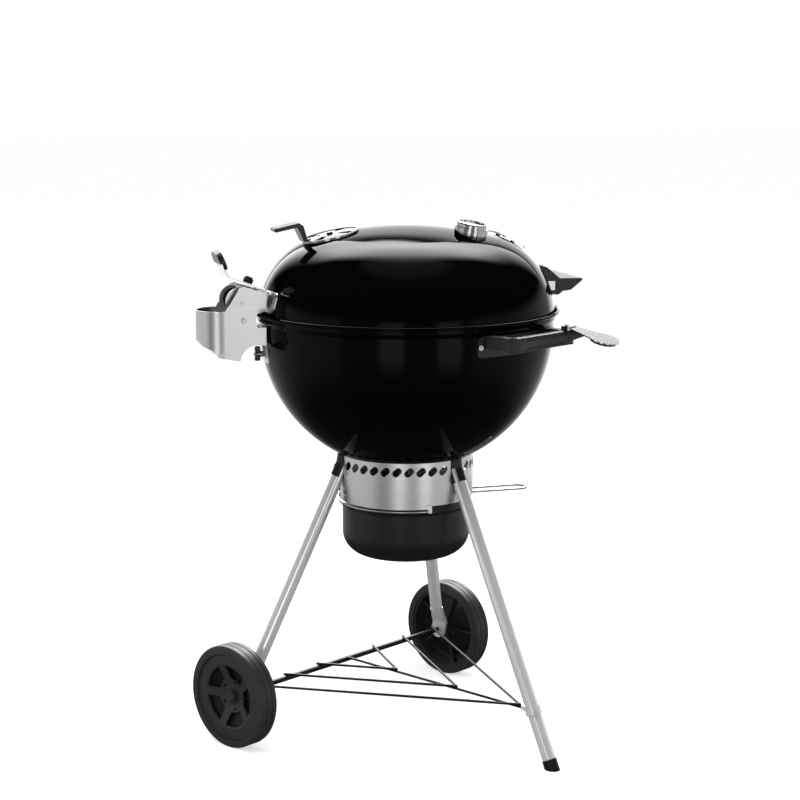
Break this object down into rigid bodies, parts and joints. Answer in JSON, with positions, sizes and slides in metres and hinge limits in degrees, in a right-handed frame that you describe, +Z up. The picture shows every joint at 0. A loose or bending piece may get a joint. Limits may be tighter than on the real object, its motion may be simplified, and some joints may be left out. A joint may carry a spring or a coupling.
{
  "type": "kettle charcoal grill",
  "caption": "Kettle charcoal grill on a foot and two wheels, with a hinged lid, a damper, a thermometer and an ash catcher.",
  "frame": {"origin": "on the floor, on the kettle's upright axis", "axes": "+Z up, -Y toward the lid's handle (the front), +X to the right seen from the front"},
  "size_m": [0.742, 0.7488, 1.0068],
  "materials": {
    "enamel": "gloss",
    "plated_tube": "satin",
    "stainless": "brushed",
    "bright_steel": "polished",
    "zinc_fasteners": "satin",
    "nylon": "satin",
    "wheel_plastic": "satin",
    "tyre": "satin",
    "rack_wire": "satin",
    "pan_coating": "satin",
    "plated_grate": "satin",
    "bare_steel": "satin",
    "damper_aluminium": "satin",
    "dial_face": "matte",
    "dial_glass": "clear",
    "needle_paint": "satin"
  },
  "bodies": {
    "stand": {"bowl": "enamel", "grate_ledges": "enamel", "leg_sockets": "nylon", "socket_bolts": "zinc_fasteners", "leg_left": "plated_tube", "leg_right": "plated_tube", "leg_rear": "plated_tube", "foot_cap": "nylon", "axle": "zinc_fasteners", "bottom_rack": "rack_wire", "rack_clip": "rack_wire", "ash_ring": "stainless", "ring_rivets": "zinc_fasteners", "pan_hanger": "zinc_fasteners", "handle_left": "nylon", "handle_right": "nylon", "handle_screws": "zinc_fasteners", "plate_bracket": "stainless", "plate_backing": "nylon", "hinge_housing": "stainless", "hinge_pin": "zinc_fasteners", "hinge_springs": "zinc_fasteners", "hinge_block": "nylon", "hinge_bolts": "zinc_fasteners", "wing_nut": "zinc_fasteners", "charcoal_grate": "bare_steel", "cooking_grate": "plated_grate", "axle_cap_rear": "nylon", "axle_cap_right": "nylon"},
    "lid": {"lid": "enamel", "lid_bracket": "stainless", "lid_handle": "nylon", "lid_heat_shield": "stainless", "lid_handle_screws": "zinc_fasteners", "thermometer_case": "bright_steel", "thermometer_dial": "dial_face", "thermometer_lens": "dial_glass", "thermometer_probe": "zinc_fasteners", "front_plate": "stainless", "plate_spacers": "zinc_fasteners", "damper_rivet": "damper_aluminium", "release_pin": "zinc_fasteners"},
    "damper": {"lid_damper": "damper_aluminium", "damper_tab": "nylon"},
    "needle": {"thermometer_needle": "needle_paint"},
    "release": {"release_lever": "stainless", "release_pad": "nylon", "release_knob": "nylon"},
    "wheel_rear": {"wheel_rear": "wheel_plastic", "tyre_rear": "tyre"},
    "wheel_right": {"wheel_right": "wheel_plastic", "tyre_right": "tyre"},
    "cleaner": {"sweep_blades": "bare_steel", "cleaning_lever": "bare_steel"},
    "ash_pan": {"ash_pan": "pan_coating", "pan_handle": "plated_grate"},
    "flap_left": {"flap_left": "plated_grate"},
    "flap_right": {"flap_right": "plated_grate"}
  },
  "joints": [
    {"name": "lid_hinge", "type": "hinge", "parent": "stand", "child": "lid", "pos_m": [0, 0.331, 0.861], "axis": [-1, 0, 0], "range_deg": [0, 70]},
    {"name": "damper_turn", "type": "hinge", "parent": "lid", "child": "damper", "pos_m": [0, 0.15, 0.97731], "axis": [0, 0.2199, 0.9755], "range_deg": [0, 45]},
    {"name": "needle_turn", "type": "hinge", "parent": "lid", "child": "needle", "pos_m": [-0.08833, -0.0981, 0.98112], "axis": [-0.1295, -0.1438, 0.9811], "range_deg": [-250, 0]},
    {"name": "release_push", "type": "hinge", "parent": "lid", "child": "release", "pos_m": [0, 0.285, 0.878], "axis": [1, 0, 0], "range_deg": [0, 20]},
    {"name": "wheel_rear_spin", "type": "hinge", "parent": "stand", "child": "wheel_rear", "pos_m": [-0.01485, 0.35036, 0.1], "axis": [-0.5, 0.866, 0], "continuous": true},
    {"name": "wheel_right_spin", "type": "hinge", "parent": "stand", "child": "wheel_right", "pos_m": [0.296, -0.18804, 0.1], "axis": [-0.5, 0.866, 0], "continuous": true},
    {"name": "cleaner_turn", "type": "hinge", "parent": "stand", "child": "cleaner", "pos_m": [0, 0, 0.525], "axis": [0, 0, 1], "range_deg": [-30, 0]},
    {"name": "ash_pan_swing", "type": "hinge", "parent": "stand", "child": "ash_pan", "pos_m": [0, 0.12, 0.4631], "axis": [1, 0, 0], "range_deg": [0, 12]},
    {"name": "flap_left_lift", "type": "hinge", "parent": "stand", "child": "flap_left", "pos_m": [-0.165, 0, 0.7875], "axis": [0, 1, 0], "range_deg": [0, 100]},
    {"name": "flap_right_lift", "type": "hinge", "parent": "stand", "child": "flap_right", "pos_m": [0.165, 0, 0.7875], "axis": [0, -1, 0], "range_deg": [0, 100]}
  ]
}
